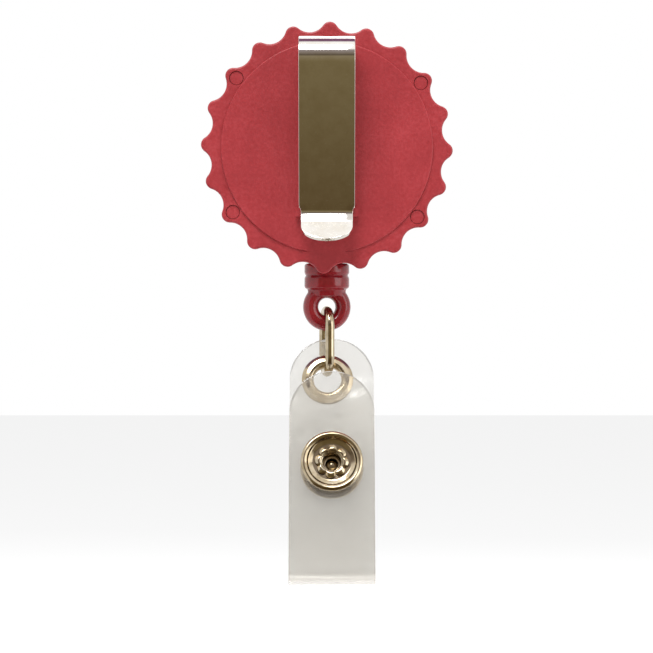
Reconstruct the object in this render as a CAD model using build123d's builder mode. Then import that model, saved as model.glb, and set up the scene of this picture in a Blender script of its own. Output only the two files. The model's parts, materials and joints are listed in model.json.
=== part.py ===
from build123d import *

import os
from math import acos, cos, degrees, radians, sin, sqrt, tan

os.makedirs("parts", exist_ok=True)

# Retractable badge reel with a belt clip and a snap strap, hanging as it is worn.
# Millimetres, +Z up. The reel's axis runs along Y: the belt clip is on the -Y side and
# the label face looks to +Y. The origin is the centre of the rear cover's outer face.

# Case
tooth_count = 20            # lobes round the rim, as on a crown cap
rim_tip_radius = 19.0
lobe_height = 1.44          # from a valley to a lobe's tip
tooth_round = 1.2           # radius of each lobe's tip
rim_turn = -1.5             # degrees that the lobes stand off the case's upright line
case_depth = 9.6            # rear cover's outer face to the label face
rear_plate = 1.6            # rear cover, from its outer face to the parting plane
plateau_margin = 3.0        # lobe tips to the raised disc on the rear cover's outer face
plateau_height = 0.3
rim_fillet = 0.3
case_wall = 4.7             # lobe tips to the cavity
front_wall = 1.4            # front cover's end wall
shoulder_margin = 2.0       # lobe tips to the front cover's shoulder
face_margin = 5.4           # lobe tips to the edge of the label face
lobe_draft = 0.88           # size of the lobed section at the label face against the rim
label_rim = 0.7             # round the recess for a one-inch round label
label_recess = 0.3
pin_radius = 1.0            # four pins join the covers
pin_margin = 1.8            # lobe tips to the pins' centres
pin_teeth = (2, 8, 12, 18)  # the lobes that the pins stand on
pin_fit = 0.08
pin_recess = 0.15           # pin ends below the rear cover's rim face
nest_wall = 0.65            # rear cover's ring that nests in the front cover
nest_height = 0.8
nest_fit = 0.15
bridge_width = 7.4          # raised bridge over the cord outlet

# Spindle, moulded with the rear cover
spindle_radius = 2.3
journal_length = 1.8        # the spool's journal, at the spindle's end
journal_radius = 1.5
journal_cover = 1.1         # label face to the journal's end
journal_fit = 0.1
spindle_slot = 0.4          # holds the inner end of the power spring
boss_radius = 3.0
boss_height = 0.3

# Spool
spool_clearance = 1.0       # round the flanges
groove_depth = 4.3
barrel_wall = 0.8           # round the spring chamber
flange = 0.8
end_play = 0.2
lid_seat = 0.7              # the spring cover stands over the chamber by this much
lid_thickness = 0.4
lid_fit = 0.08

# Power spring
spring_thickness = 0.2
spring_width = 3.0
spring_turns = 9.5
spring_outer_turns = 7.0    # turns that lie packed against the barrel
spring_pitch = 0.38

# Cord
cord_radius = 0.5
cord_fit = 0.1
turns_across = 3
layers = 4
cord_offset = 0.4           # the cord's line lies this far beyond the middle of the depth

# Cord end fitting
neck_radius = 3.42
neck_groove_radius = 3.15
neck_seat = 1.65            # the neck stands this far inside the lobe tips
ridge_height = 1.65
groove_height = 0.4
neck_fit = 0.18
waist_radius = 3.05
eye_drop = 6.65             # neck's top to the eye's centre
eye_outer_radius = 3.66
eye_hole_radius = 1.34
eye_thickness = 3.2
knot_radius = 1.15
swivel_yaw = 10.0           # degrees that the fitting and the link stand turned about the cord

# Link ring
link_wire_radius = 0.7
link_inner_radius = 2.0     # bend inside the wire
link_length = 10.9          # overall
link_play = 0.1             # between the wire and the bottom of the eye
link_gap = 0.12             # between the butted ends of the wire

# Strap
strap_pitch = 20.0          # degrees that the strap leans forward from the vertical
strap_width = 12.8
strap_thickness = 0.5
strap_offset = 0.75         # strap's centre line from the cord's line
strap_top = 2.3             # rear layer's end above the centre of the link's lower bend
strap_length = 36.2         # from that centre down to the outside of the fold
layer_gap = 2.2
flap_end = -3.6             # flap's end from the same centre
hinge_gap = 0.12

# Eyelet
eyelet_hole_radius = 2.1
eyelet_radius = 3.9
eyelet_barrel_wall = 0.3
eyelet_flange = 0.5
eyelet_play = 0.08
eyelet_offset = 0.1         # eyelet's centre from the cord's line
eyelet_fit = 0.06

# Snap
snap_height = -18.0         # snap's centre from the centre of the link's lower bend
ring_radius = 4.65
ring_height = 1.15
ring_rim = 0.55             # radius of the rolled rim
post_hole_radius = 1.5
petal_count = 8
petal_length = 1.9
petal_width = 1.15
socket_radius = 3.3
socket_lip_radius = 2.0
socket_plate = 0.3
stud_ball_radius = 1.75
stud_neck_radius = 1.5
stud_plate_radius = 3.6
snap_spring_wire = 0.2       # radius
snap_spring_reach = 1.6
snap_fit = 0.05
cap_radius = 4.75
cap_height = 1.2

# Belt clip, one strip of spring steel
clip_width = 8.4
clip_thickness = 0.6
clip_bend_radius = 3.35     # outside the top bend
clip_bend_height = 12.95
clip_lean = 11.5            # degrees that the front leg leans in towards the case
clip_elbow_height = -9.9
clip_elbow_radius = 2.3
tongue_flare = 40.0         # degrees
tongue_width = 7.8
tongue_end = -14.1
tongue_round = 2.2
clip_gap = 0.1              # between the two parts of the strip at the top of its bend
keeper_width = 9.5
keeper_top = -9.2
keeper_bottom = -10.5
keeper_wall = 0.6
keeper_fit = 0.1
rivet_radius = 1.2
rivet_fit = 0.05
rivet_head_radius = 2.3
rivet_head_height = 0.7
rivet_end = 5.0

# Sizes that follow
tooth_pitch = 360 / tooth_count
rim_valley_radius = rim_tip_radius - lobe_height
plateau_radius = rim_tip_radius - plateau_margin
cavity_radius = rim_tip_radius - case_wall
pin_circle = rim_tip_radius - pin_margin
dome_shoulder_radius = rim_tip_radius - shoulder_margin
dome_shoulder_depth = case_depth * 2 / 3
dome_face_radius = rim_tip_radius - face_margin
label_radius = dome_face_radius - label_rim
journal_end = case_depth - journal_cover
spindle_step = journal_end - journal_length
spool_radius = cavity_radius - spool_clearance
groove_floor = spool_radius - groove_depth
chamber_radius = groove_floor - barrel_wall
lid_radius = chamber_radius + lid_seat
cord_depth = case_depth / 2 + cord_offset
neck_top = neck_seat - rim_tip_radius
eye_height = neck_top - eye_drop
cavity_end = case_depth - front_wall
spool_front = cavity_end - boss_height - end_play
spool_web = spindle_step + end_play
groove_width = turns_across * 2 * cord_radius + 2 * cord_fit
groove_front = cord_depth + groove_width / 2
groove_rear = cord_depth - groove_width / 2
spool_rear = groove_rear - flange
layer_rise = sqrt(3) * cord_radius
pack_radius = groove_floor + cord_fit + 2 * cord_radius + (layers - 1) * layer_rise
outlet_radius = neck_radius + neck_fit
outlet_floor = neck_top + neck_fit
cord_hole_radius = cord_radius + 4 * cord_fit


def dome_middle(radius, height):
    """Point half-way out on a spherical dome: its distance from the axis and its height."""
    ball = (radius**2 + height**2) / (2 * height)
    reach = radius / 2
    return reach, height - ball + sqrt(ball**2 - reach**2)


def at_depth(depth):
    """Plane across the reel's axis at this depth, its x to +X and its y up."""
    return Plane.XZ.offset(-depth)


def polar(radius, angle):
    """Point at this radius and angle in degrees."""
    return radius * cos(radians(angle)), radius * sin(radians(angle))


def scallop(plane, size=1.0, inset=0.0):
    """Face with the rim's outline: lobe tips and valleys as arcs that are tangent to each other."""
    tip = rim_tip_radius - inset
    valley = rim_valley_radius - inset
    tip_round = tooth_round - inset
    centre = tip - tip_round
    share = cos(radians(tooth_pitch / 2))
    valley_round = (tip_round**2 - centre**2 - valley**2 + 2 * centre * valley * share) / (
        2 * (valley - centre * share - tip_round)
    )
    ratio = tip_round / (tip_round + valley_round)
    with BuildSketch(plane) as outline:
        with BuildLine():
            for tooth in range(tooth_count):
                angle = tooth * tooth_pitch + rim_turn
                tip_centre = Vector(*polar(centre, angle))
                before = Vector(*polar(valley + valley_round, angle - tooth_pitch / 2))
                after = Vector(*polar(valley + valley_round, angle + tooth_pitch / 2))
                start = tip_centre + (before - tip_centre) * ratio
                end = tip_centre + (after - tip_centre) * ratio
                next_centre = Vector(*polar(centre, angle + tooth_pitch))
                next_start = next_centre + (after - next_centre) * ratio
                bottom = polar(valley * size, angle + tooth_pitch / 2)
                ThreePointArc(start * size, polar(tip * size, angle), end * size)
                ThreePointArc(end * size, bottom, next_start * size)
        make_face()
    return outline.sketch


# ---------------------------------------------------------------- rear cover
keeper_depth = clip_thickness + keeper_fit + keeper_wall
pin_points = [polar(pin_circle, tooth * tooth_pitch + rim_turn) for tooth in pin_teeth]

with BuildPart() as rear_cover:
    extrude(scallop(at_depth(rear_plate)), amount=rear_plate - plateau_height)
    fillet(rear_cover.faces().sort_by(Axis.Y)[0].edges(), radius=rim_fillet)
    # Raised disc, and the bridge that carries its level out over the cord outlet
    with BuildSketch(at_depth(plateau_height)):
        Circle(plateau_radius)
    extrude(amount=plateau_height)
    fillet(rear_cover.faces().sort_by(Axis.Y)[0].edges(), radius=plateau_height / 2)
    with BuildSketch(at_depth(plateau_height)):
        with Locations((0, -(plateau_radius + rim_tip_radius) / 2)):
            Rectangle(bridge_width, rim_tip_radius - plateau_radius + 2 * plateau_height)
        add(scallop(Plane.XY, inset=rim_fillet), mode=Mode.INTERSECT)
    extrude(amount=plateau_height)
    # Ring that nests in the front cover
    with BuildSketch(at_depth(rear_plate)):
        Circle(cavity_radius - nest_fit)
        Circle(cavity_radius - nest_fit - nest_wall, mode=Mode.SUBTRACT)
    extrude(amount=-nest_height)
    # Stepped spindle, hollow for the clip's rivet and slotted for the spring
    with BuildSketch(Plane.XY):
        with BuildLine():
            Polyline(
                (0, rear_plate),
                (spindle_radius, rear_plate),
                (spindle_radius, spindle_step),
                (journal_radius, spindle_step),
                (journal_radius, journal_end),
                (0, journal_end),
                close=True,
            )
        make_face()
    revolve(axis=Axis.Y)
    with BuildSketch(at_depth(0)):
        Circle(rivet_radius + rivet_fit)
    extrude(amount=-(rivet_end + rivet_fit), mode=Mode.SUBTRACT)
    with BuildSketch(at_depth(spool_rear)):
        with Locations((spindle_radius, 0)):
            Rectangle(2 * (spindle_radius - journal_radius), spindle_slot)
    extrude(amount=-(spindle_step - spool_rear), mode=Mode.SUBTRACT)
    # Holes for the front cover's pins
    with BuildSketch(at_depth(rear_plate)):
        with Locations(*pin_points):
            Circle(pin_radius + pin_fit)
    extrude(amount=rear_plate, mode=Mode.SUBTRACT)
    # Keeper: a pocket, open at its top, that holds the lower end of the clip's rear leg
    with BuildSketch(at_depth(0)):
        with Locations((0, (keeper_top + keeper_bottom) / 2)):
            RectangleRounded(keeper_width, keeper_top - keeper_bottom, keeper_wall / 2)
    extrude(amount=keeper_depth)
    with BuildSketch(at_depth(0)):
        with Locations((0, keeper_top)):
            pocket = 2 * (keeper_top - keeper_bottom - keeper_wall / 2)
            Rectangle(clip_width + 2 * keeper_fit, pocket)
    extrude(amount=clip_thickness + keeper_fit, mode=Mode.SUBTRACT)
rear_cover.part.label = "rear_cover"
export_step(rear_cover.part, "parts/rear_cover.step")

# ---------------------------------------------------------------- front cover
with BuildPart() as front_cover:
    # The lobes taper towards the label face, and a dome cuts them back until they run out
    loft([scallop(at_depth(rear_plate)), scallop(at_depth(case_depth), size=lobe_draft)], ruled=True)
    with BuildSketch(Plane.XY):
        with BuildLine():
            Polyline(
                (dome_face_radius, case_depth),
                (0, case_depth),
                (0, rear_plate),
                (rim_tip_radius + rim_fillet, rear_plate),
                (dome_shoulder_radius, dome_shoulder_depth),
            )
            lean = (rim_tip_radius + rim_fillet - dome_shoulder_radius, rear_plate - dome_shoulder_depth)
            TangentArc(
                (dome_shoulder_radius, dome_shoulder_depth),
                (dome_face_radius, case_depth),
                tangent=(-lean[0], -lean[1]),
            )
        make_face()
    revolve(axis=Axis.Y, mode=Mode.INTERSECT)
    # Cavity for the spool, and the recess for a label
    with BuildSketch(at_depth(rear_plate)):
        Circle(cavity_radius)
    extrude(amount=-(cavity_end - rear_plate), mode=Mode.SUBTRACT)
    with BuildSketch(at_depth(case_depth)):
        Circle(label_radius)
    extrude(amount=label_recess, mode=Mode.SUBTRACT)
    # Boss with the spindle's bearing
    with BuildSketch(at_depth(cavity_end)):
        Circle(boss_radius)
    extrude(amount=boss_height)
    with BuildSketch(at_depth(journal_end + journal_fit)):
        Circle(journal_radius + journal_fit)
    extrude(amount=journal_end + journal_fit - cavity_end + boss_height, mode=Mode.SUBTRACT)
    # Seat for the fitting's neck, and the flared cord hole above it
    with BuildSketch(Plane.XY.offset(outlet_floor)):
        with Locations((0, cord_depth)):
            Circle(outlet_radius)
    extrude(amount=-rim_tip_radius - outlet_floor, mode=Mode.SUBTRACT)
    with BuildSketch(Plane.XZ.offset(-cord_depth)):
        with BuildLine():
            mouth = cord_hole_radius + 2 * cord_radius
            top = -cavity_radius + cord_radius
            Polyline(
                (0, outlet_floor),
                (cord_hole_radius + cord_radius, outlet_floor),
                (cord_hole_radius, outlet_floor + cord_radius),
                (cord_hole_radius, top - 3 * cord_radius),
                (mouth, top),
                (0, top),
                close=True,
            )
        make_face()
    revolve(axis=Axis((0, cord_depth, 0), (0, 0, 1)), mode=Mode.SUBTRACT)
    # Joining pins
    with BuildSketch(at_depth(rear_plate + pin_radius)):
        with Locations(*pin_points):
            Circle(pin_radius)
    extrude(amount=rear_plate + pin_radius - plateau_height - pin_recess)
front_cover.part.label = "front_cover"
export_step(front_cover.part, "parts/front_cover.step")

# ---------------------------------------------------------------- spool
with BuildPart() as spool:
    with BuildSketch(Plane.XY):
        with BuildLine():
            Polyline(
                (journal_radius + journal_fit, spool_web),
                (chamber_radius, spool_web),
                (chamber_radius, spool_rear + lid_thickness + lid_fit),
                (lid_radius + lid_fit, spool_rear + lid_thickness + lid_fit),
                (lid_radius + lid_fit, spool_rear),
                (spool_radius, spool_rear),
                (spool_radius, groove_rear),
                (groove_floor, groove_rear),
                (groove_floor, groove_front),
                (spool_radius, groove_front),
                (spool_radius, spool_front),
                (journal_radius + journal_fit, spool_front),
                close=True,
            )
        make_face()
    revolve(axis=Axis.Y)
    # Slot through the barrel for the spring's outer hook, and the hole where the cord starts
    with BuildSketch(at_depth(cord_depth)):
        with Locations((-groove_floor, 0)):
            Rectangle(2 * (groove_floor - chamber_radius), 3 * spring_thickness)
    extrude(amount=spring_width / 2 + cord_fit, both=True, mode=Mode.SUBTRACT)
    with BuildSketch(at_depth(spool_front)):
        with Locations((0, groove_floor + cord_radius)):
            Circle(cord_radius + cord_fit)
    extrude(amount=spool_front - groove_front, mode=Mode.SUBTRACT)
spool.part.label = "spool"
export_step(spool.part, "parts/spool.step")

with BuildPart() as spring_cover:
    with BuildSketch(at_depth(spool_rear + lid_thickness)):
        Circle(lid_radius)
        Circle(spindle_radius + journal_fit, mode=Mode.SUBTRACT)
    extrude(amount=lid_thickness)
spring_cover.part.label = "spring_cover"
export_step(spring_cover.part, "parts/spring_cover.step")

# ---------------------------------------------------------------- power spring
# A flat strip: its inner end is bent into the spindle's slot, it opens out in wide turns, and
# its last turns lie packed against the barrel, where a hook goes through the barrel's slot.
packed_radius = chamber_radius - spring_outer_turns * spring_pitch - spring_thickness
open_turns = spring_turns - spring_outer_turns
points_per_turn = 14


def spring_radius(turn):
    """Radius of the strip's middle line after this many turns from the spindle."""
    start = spindle_radius + spring_thickness
    if turn < open_turns:
        rise = turn / open_turns
        return start + (packed_radius - start) * rise * rise * (3 - 2 * rise)
    return packed_radius + (turn - open_turns) * spring_pitch


def spring_edge(side):
    """Points along one side of the strip, from the spindle out to the barrel."""
    count = round(spring_turns * points_per_turn)
    turns = [spring_turns * step / count for step in range(count + 1)]
    return [polar(spring_radius(turn) + side * spring_thickness / 2, 360 * turn) for turn in turns]


with BuildPart() as power_spring:
    with BuildSketch(at_depth(cord_depth)):
        with BuildLine():
            inner = Spline(*spring_edge(-1))
            outer = Spline(*spring_edge(1))
            Line(inner @ 0, outer @ 0)
            Line(inner @ 1, outer @ 1)
        make_face()
        # Inner tab in the spindle's slot, outer hook through the barrel
        tab = spring_radius(0) + spring_thickness / 2 - journal_radius - journal_fit
        with Locations((spring_radius(0) + (spring_thickness - tab) / 2, 0)):
            Rectangle(tab, spring_thickness)
        with Locations((-(spring_radius(spring_turns) + groove_floor) / 2, 0)):
            Rectangle(groove_floor - spring_radius(spring_turns), spring_thickness)
    extrude(amount=spring_width / 2, both=True)
power_spring.part.label = "power_spring"
export_step(power_spring.part, "parts/power_spring.step")

# ---------------------------------------------------------------- cord
layer_radius = [groove_floor + cord_fit + cord_radius + layer * layer_rise for layer in range(layers)]
turn_places = [cord_depth + (turn - (turns_across - 1) / 2) * 2 * cord_radius for turn in range(turns_across)]

with BuildPart() as wound_cord:
    # Every layer's turns side by side, as rings that share their flanks
    with BuildSketch(Plane.XY):
        with Locations(*[(radius, place) for radius in layer_radius for place in turn_places]):
            Circle(cord_radius)
        with Locations(((layer_radius[0] + layer_radius[-1]) / 2, cord_depth)):
            Rectangle(layer_radius[-1] - layer_radius[0], groove_width - 2 * cord_fit - cord_radius)
    revolve(axis=Axis.Y)
wound_cord.part.label = "wound_cord"
export_step(wound_cord.part, "parts/wound_cord.step")

# The stretch from the spool to the outlet: it runs along itself and keeps its place
run_radius = pack_radius + cord_radius + cord_fit
run_corner = -(cavity_radius - cord_radius - 2 * cord_fit)
run_end = outlet_floor + 3 * cord_radius
run_angle = 270 - degrees(acos(run_radius / -run_corner))
with BuildPart() as cord_run:
    with BuildLine(at_depth(cord_depth)) as run_path:
        FilletPolyline(polar(run_radius, run_angle), (0, run_corner), (0, run_end), radius=cord_radius)
    with BuildSketch(Plane(run_path.line @ 0, z_dir=run_path.line % 0)):
        Circle(cord_radius)
    sweep(path=run_path.line)
cord_run.part.label = "cord_run"
export_step(cord_run.part, "parts/cord_run.step")

knot_height = neck_top - ridge_height - cord_fit - knot_radius
with BuildPart() as cord_lead:
    with BuildSketch(Plane.XY.offset(run_end - cord_fit)):
        with Locations((0, cord_depth)):
            Circle(cord_radius)
    extrude(amount=knot_height + knot_radius - run_end + cord_fit)
cord_lead.part.label = "cord_lead"
export_step(cord_lead.part, "parts/cord_lead.step")

with BuildPart() as cord_knot:
    # An overhand knot pulled tight: two fat turns on a core
    with BuildSketch(at_depth(cord_depth)):
        with Locations((knot_radius - cord_radius, knot_height + cord_radius)):
            Circle(cord_radius)
        with Locations((knot_radius - cord_radius, knot_height - cord_radius)):
            Circle(cord_radius)
        with Locations((knot_radius * 0.4, knot_height)):
            Rectangle(knot_radius * 0.8, 2 * knot_radius)
    revolve(axis=Axis((0, cord_depth, 0), (0, 0, 1)))
cord_knot.part.label = "cord_knot"
export_step(cord_knot.part, "parts/cord_knot.step")

# ---------------------------------------------------------------- cord end fitting
# A ringed neck over the knot, and a round eye below it that stands turned about the cord
cord_line = Axis((0, cord_depth, 0), (0, 0, 1))
turned = Plane((0, cord_depth, 0), x_dir=(*polar(1, swivel_yaw), 0), z_dir=(0, 0, 1))
eye_axis = Vector(*polar(1, swivel_yaw + 90), 0)
eye_centre = Vector(0, cord_depth, eye_height)
eye_side = Plane(eye_centre, x_dir=eye_axis * -1, z_dir=turned.x_dir * -1)
ridge_top = neck_top - ridge_height - groove_height
neck_end = ridge_top - ridge_height
chamber_top = neck_top - ridge_height
ring_round = (eye_outer_radius - eye_hole_radius) / 2

with BuildPart() as cord_end_fitting:
    with BuildSketch(at_depth(cord_depth)):
        with BuildLine():
            edge = neck_groove_radius
            foot = neck_end - groove_height
            Polyline((edge, neck_top), (0, neck_top), (0, foot), (waist_radius, foot))
            Line((waist_radius, foot), (edge, neck_end))
            ThreePointArc((edge, neck_end), (neck_radius, neck_end + ridge_height / 2), (edge, ridge_top))
            Line((edge, ridge_top), (edge, chamber_top))
            ThreePointArc((edge, chamber_top), (neck_radius, neck_top - ridge_height / 2), (edge, neck_top))
        make_face()
    revolve(axis=cord_line)
    # Shoulder that thins from the round neck to the eye
    shoulder = Plane(turned.origin, x_dir=turned.x_dir, z_dir=(0, 0, 1))
    with BuildSketch(shoulder.offset(neck_end - groove_height)) as neck_foot:
        Circle(waist_radius)
    with BuildSketch(shoulder.offset(eye_height + eye_hole_radius + ring_round / 4)) as eye_crown:
        Ellipse(waist_radius, eye_thickness / 3)
    loft()
    # The eye, a ring with an oval section
    with BuildSketch(eye_side):
        with Locations((0, (eye_outer_radius + eye_hole_radius) / 2)):
            Ellipse(eye_thickness / 2, ring_round)
    revolve(axis=Axis(eye_centre, eye_axis))
    # Way for the cord, and the room for its knot
    with BuildSketch(at_depth(cord_depth)):
        with BuildLine():
            hole = cord_radius + 2 * cord_fit
            room = knot_radius + 2 * cord_fit
            floor = knot_height - knot_radius - cord_fit
            Polyline(
                (0, neck_top),
                (hole, neck_top),
                (hole, chamber_top),
                (room, chamber_top),
                (room, floor),
                (0, floor),
                close=True,
            )
        make_face()
    revolve(axis=cord_line, mode=Mode.SUBTRACT)
cord_end_fitting.part.label = "cord_end_fitting"
export_step(cord_end_fitting.part, "parts/cord_end_fitting.step")

# ---------------------------------------------------------------- link ring
# One length of wire bent to a long ring; its ends butt on the far side
link_bend = link_inner_radius + link_wire_radius
link_upper = eye_height - eye_hole_radius + link_wire_radius + link_play - link_bend
link_lower = link_upper - (link_length - 2 * link_bend - 2 * link_wire_radius)
link_middle = (link_upper + link_lower) / 2
link_plane = Plane((0, cord_depth, 0), x_dir=eye_axis, z_dir=turned.x_dir)

with BuildPart() as link_ring:
    with BuildLine(link_plane) as link_path:
        Line((link_bend, link_middle + link_gap / 2), (link_bend, link_upper))
        CenterArc((0, link_upper), link_bend, 0, 180)
        Line((-link_bend, link_upper), (-link_bend, link_lower))
        CenterArc((0, link_lower), link_bend, 180, 180)
        Line((link_bend, link_lower), (link_bend, link_middle - link_gap / 2))
    with BuildSketch(Plane(link_path.line @ 0, z_dir=link_path.line % 0)):
        Circle(link_wire_radius)
    sweep(path=link_path.line)
link_ring.part.label = "link_ring"
export_step(link_ring.part, "parts/link_ring.step")

# ---------------------------------------------------------------- strap
# Everything on the strap is placed from the centre of the link's lower bend: "up" runs along
# the strap, "out" stands off its face, towards the clip side.
strap_origin = Vector(0, cord_depth, link_lower)
out = Vector(0, -cos(radians(strap_pitch)), sin(radians(strap_pitch)))
up = Vector(0, sin(radians(strap_pitch)), cos(radians(strap_pitch)))
strap_face = Plane(strap_origin, x_dir=(1, 0, 0), z_dir=out)
fold_radius = (layer_gap + strap_thickness) / 2
fold_up = -(strap_length - fold_radius - strap_thickness / 2)
hinge_up = fold_up + strap_thickness + hinge_gap
flap_out = layer_gap + strap_thickness


def strap_side(x, height=0.0):
    """Plane through the strap's thickness at this place, its x to "out" and its y to "up"."""
    return Plane(strap_origin + Vector(x, 0, 0) + up * height, x_dir=out, z_dir=(-1, 0, 0))


def through_strap(x, height):
    """Line through the strap at this place, along "out"."""
    return Axis(strap_origin + Vector(x, 0, 0) + up * height, out)


with BuildPart() as strap_rear:
    with BuildSketch(strap_side(strap_offset)):
        with BuildLine():
            rear_line = Line((0, strap_top), (0, fold_up))
            fold_line = CenterArc((fold_radius, fold_up), fold_radius, 180, 180)
            offset(amount=strap_thickness / 2)
        make_face()
    extrude(amount=strap_width / 2, both=True)
    with BuildSketch(strap_face):
        round_end = strap_top + strap_thickness / 2
        with Locations((strap_offset, round_end)):
            SlotOverall(2 * (strap_length + strap_top), strap_width, rotation=90, align=(Align.MAX, Align.CENTER))
    extrude(amount=2 * flap_out, both=True, mode=Mode.INTERSECT)
    with BuildSketch(strap_face):
        with Locations((eyelet_offset, eyelet_play - link_inner_radius - eyelet_hole_radius)):
            Circle(eyelet_hole_radius + eyelet_barrel_wall + eyelet_fit)
        with Locations((strap_offset, snap_height)):
            Circle(post_hole_radius + snap_fit)
    extrude(amount=strap_thickness, both=True, mode=Mode.SUBTRACT)
strap_rear.part.label = "strap_rear"
export_step(strap_rear.part, "parts/strap_rear.step")

with BuildPart() as strap_flap:
    with BuildSketch(strap_side(strap_offset)):
        with BuildLine():
            Line((flap_out, hinge_up), (flap_out, strap_top))
            offset(amount=strap_thickness / 2)
        make_face()
    extrude(amount=strap_width / 2, both=True)
    with BuildSketch(strap_face):
        with Locations((strap_offset, flap_end)):
            SlotOverall(2 * strap_length, strap_width, rotation=90, align=(Align.MAX, Align.CENTER))
    extrude(amount=2 * flap_out, mode=Mode.INTERSECT)
    with BuildSketch(strap_face):
        with Locations((strap_offset, snap_height)):
            Circle(post_hole_radius + socket_plate + snap_fit)
    extrude(amount=2 * flap_out, mode=Mode.SUBTRACT)
strap_flap.part.label = "strap_flap"
export_step(strap_flap.part, "parts/strap_flap.step")

# ---------------------------------------------------------------- eyelet
# A flanged barrel from the clip side, rolled over a washer on the far side
eyelet_height = eyelet_play - link_inner_radius - eyelet_hole_radius
eyelet_side = strap_side(eyelet_offset, eyelet_height)
barrel_radius = eyelet_hole_radius + eyelet_barrel_wall
strap_half = strap_thickness / 2

with BuildPart() as strap_eyelet:
    with BuildSketch(eyelet_side):
        with BuildLine():
            crown = strap_half + eyelet_flange
            Polyline(
                (crown, barrel_radius + eyelet_flange / 2),
                (0, eyelet_hole_radius),
                (-strap_half - eyelet_flange / 2, eyelet_hole_radius),
                (-strap_half - eyelet_flange / 2, barrel_radius),
                (strap_half, barrel_radius),
                (strap_half, eyelet_radius),
            )
            ThreePointArc(
                (strap_half, eyelet_radius),
                (crown + eyelet_flange / 4, (eyelet_radius + barrel_radius) / 2),
                (crown, barrel_radius + eyelet_flange / 2),
            )
        make_face()
    revolve(axis=through_strap(eyelet_offset, eyelet_height))
strap_eyelet.part.label = "strap_eyelet"
export_step(strap_eyelet.part, "parts/strap_eyelet.step")

with BuildPart() as eyelet_washer:
    with BuildSketch(eyelet_side):
        with BuildLine():
            Polyline(
                (-strap_half, eyelet_radius),
                (-strap_half, barrel_radius + eyelet_fit),
                (-strap_half - eyelet_flange, barrel_radius + eyelet_fit),
                (-strap_half - eyelet_flange, (eyelet_radius + barrel_radius) / 2),
                (-strap_half - eyelet_flange / 2, eyelet_radius),
                close=True,
            )
        make_face()
    revolve(axis=through_strap(eyelet_offset, eyelet_height))
eyelet_washer.part.label = "eyelet_washer"
export_step(eyelet_washer.part, "parts/eyelet_washer.step")

# ---------------------------------------------------------------- snap
# From the clip side: a dished ring with a rolled rim on the flap, the socket whose tube is
# split into petals and crimped over that ring, the stud on the rear layer, and the smooth cap
# behind it, whose post holds the stud.
snap_side = strap_side(strap_offset, snap_height)
snap_axis = through_strap(strap_offset, snap_height)
flap_inner = flap_out - strap_half
flap_outer = flap_out + strap_half
tube_radius = post_hole_radius + socket_plate
ring_top = flap_outer + ring_height

with BuildPart() as snap_ring:
    with BuildSketch(snap_side):
        with Locations((ring_top - ring_rim, ring_radius - ring_rim)):
            Circle(ring_rim)
        with BuildLine():
            Polyline(
                (flap_outer, tube_radius + snap_fit),
                (flap_outer, ring_radius - ring_rim),
                (ring_top - ring_rim, ring_radius),
                (ring_top - ring_rim / 4, ring_radius - ring_rim * 1.5),
                (flap_outer + socket_plate, tube_radius + 2 * ring_rim),
                (flap_outer + socket_plate, tube_radius + snap_fit),
                close=True,
            )
        make_face()
    revolve(axis=snap_axis)
snap_ring.part.label = "snap_ring"
export_step(snap_ring.part, "parts/snap_ring.step")

with BuildPart() as snap_socket:
    with BuildSketch(snap_side):
        with BuildLine():
            mouth = strap_half + stud_plate_radius / 6
            lip = socket_lip_radius
            Polyline(
                (flap_inner, socket_radius + socket_plate),
                (flap_inner - socket_plate, socket_radius + socket_plate),
                (flap_inner - socket_plate, socket_radius),
                (mouth + socket_plate, socket_radius),
                (mouth, socket_radius - socket_plate),
                (mouth, lip + socket_plate),
                (mouth + socket_plate, lip),
                (mouth + 2 * socket_plate, lip),
                (mouth + 2 * socket_plate, socket_radius - socket_plate),
                (flap_inner - socket_plate, socket_radius - socket_plate),
                (flap_inner - socket_plate, post_hole_radius),
                (flap_outer + 2 * socket_plate, post_hole_radius),
                (flap_outer + 2 * socket_plate, tube_radius),
                (flap_inner, tube_radius),
                close=True,
            )
        make_face()
    revolve(axis=snap_axis)
    # Petals, rolled outwards over the ring
    petal_plane = Plane(snap_side.origin + out * (flap_outer + socket_plate), x_dir=(1, 0, 0), z_dir=out)
    with BuildSketch(petal_plane):
        Circle(tube_radius)
        with PolarLocations(tube_radius, petal_count):
            SlotOverall(petal_length, petal_width)
        Circle(post_hole_radius, mode=Mode.SUBTRACT)
    extrude(amount=socket_plate)
snap_socket.part.label = "snap_socket"
export_step(snap_socket.part, "parts/snap_socket.step")

with BuildPart() as snap_spring:
    # Two straight springs joined at their ends, lying in the socket's groove
    spring_out = strap_half + stud_plate_radius / 6 + 3 * socket_plate
    spring_plane = Plane(snap_side.origin + out * spring_out, x_dir=(1, 0, 0), z_dir=out)
    with BuildLine(spring_plane) as spring_path:
        gap = socket_lip_radius
        bend = snap_spring_reach / 2
        Line((gap, -snap_spring_reach), (gap, bend))
        CenterArc((0, bend), gap, 0, 180)
        Line((-gap, bend), (-gap, -snap_spring_reach))
    with BuildSketch(Plane(spring_path.line @ 0, z_dir=spring_path.line % 0)):
        Circle(snap_spring_wire)
    sweep(path=spring_path.line)
snap_spring.part.label = "snap_spring"
export_step(snap_spring.part, "parts/snap_spring.step")

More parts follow.
